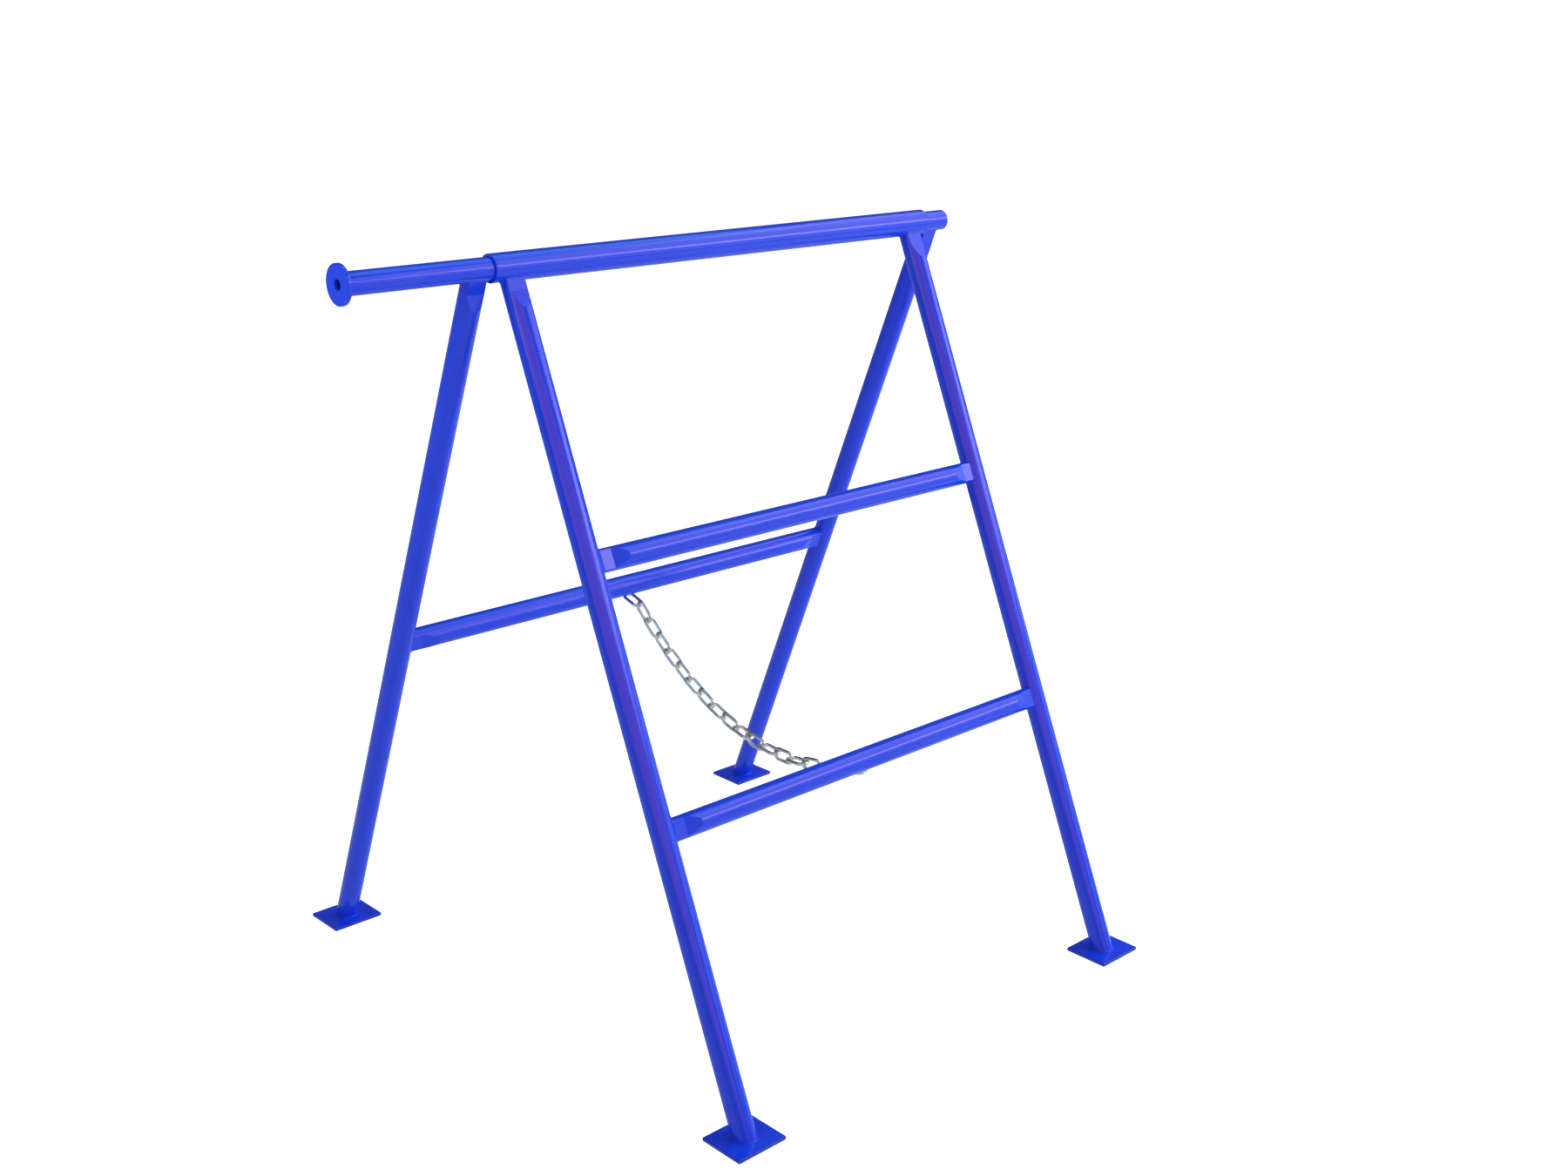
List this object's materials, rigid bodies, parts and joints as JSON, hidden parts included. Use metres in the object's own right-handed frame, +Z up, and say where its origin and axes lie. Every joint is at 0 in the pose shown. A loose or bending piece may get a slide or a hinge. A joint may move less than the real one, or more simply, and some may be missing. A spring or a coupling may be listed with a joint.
{
  "type": "folding builders trestle",
  "caption": "Folding tubular steel trestle: leaning front and rear frames with rails and foot plates turn on a top tube, held by a slack chain; carries work boards.",
  "frame": {"origin": "on the ground, below the middle of the bounding box", "axes": "+X along the top tube away from the end flange, +Y to the rear frame, +Z up"},
  "size_m": [0.983, 0.886, 1.0065],
  "materials": {
    "blue_paint": "gloss",
    "zinc": "bright zinc"
  },
  "bodies": {
    "front_frame": {"sleeve_tube": "blue_paint", "front_left_leg": "blue_paint", "front_right_leg": "blue_paint", "front_upper_rail": "blue_paint", "front_lower_rail": "blue_paint", "front_left_foot": "blue_paint", "front_right_foot": "blue_paint"},
    "rear_frame": {"pivot_tube": "blue_paint", "end_flange": "blue_paint", "rear_left_leg": "blue_paint", "rear_right_leg": "blue_paint", "rear_rail": "blue_paint", "rear_left_foot": "blue_paint", "rear_right_foot": "blue_paint", "chain_link_01": "zinc"},
    "chain_rear_run": {"chain_link_02": "zinc", "chain_link_03": "zinc", "chain_link_04": "zinc", "chain_link_05": "zinc", "chain_link_06": "zinc", "chain_link_07": "zinc", "chain_link_08": "zinc", "chain_link_09": "zinc", "chain_link_10": "zinc", "chain_link_11": "zinc"},
    "chain_turn_links": {"chain_link_12": "zinc", "chain_link_13": "zinc"},
    "chain_front_run": {"chain_link_14": "zinc", "chain_link_15": "zinc", "chain_link_16": "zinc", "chain_link_17": "zinc", "chain_link_18": "zinc"},
    "chain_end_link": {"chain_link_19": "zinc"}
  },
  "joints": [
    {"name": "fold", "type": "hinge", "parent": "front_frame", "child": "rear_frame", "pos_m": [0.0715, 0, 0.9825], "axis": [-1, 0, 0], "range_deg": [0, 41.9]},
    {"name": "chain_rear_turn", "type": "hinge", "parent": "rear_frame", "child": "chain_rear_run", "pos_m": [0.067, 0.1881, 0.44459], "axis": [-1, 0, 0], "range_deg": [-100.2, 0]},
    {"name": "chain_bend_rear", "type": "hinge", "parent": "chain_rear_run", "child": "chain_turn_links", "pos_m": [0.067, -0.05004, 0.31017], "axis": [-1, 0, 0], "range_deg": [0, 78.3]},
    {"name": "chain_bend_front", "type": "hinge", "parent": "chain_turn_links", "child": "chain_front_run", "pos_m": [0.067, -0.10513, 0.30396], "axis": [-1, 0, 0], "range_deg": [0, 82.3]},
    {"name": "chain_end_turn", "type": "hinge", "parent": "chain_front_run", "child": "chain_end_link", "pos_m": [0.067, -0.23627, 0.32413], "axis": [-1, 0, 0], "range_deg": [-102.3, 0]}
  ],
  "couplings": [
    {"joint": "chain_rear_turn", "follows": "fold", "ratio": -2.3896},
    {"joint": "chain_bend_rear", "follows": "fold", "ratio": 1.8669},
    {"joint": "chain_bend_front", "follows": "fold", "ratio": 1.9634},
    {"joint": "chain_end_turn", "follows": "fold", "ratio": -2.4407}
  ]
}
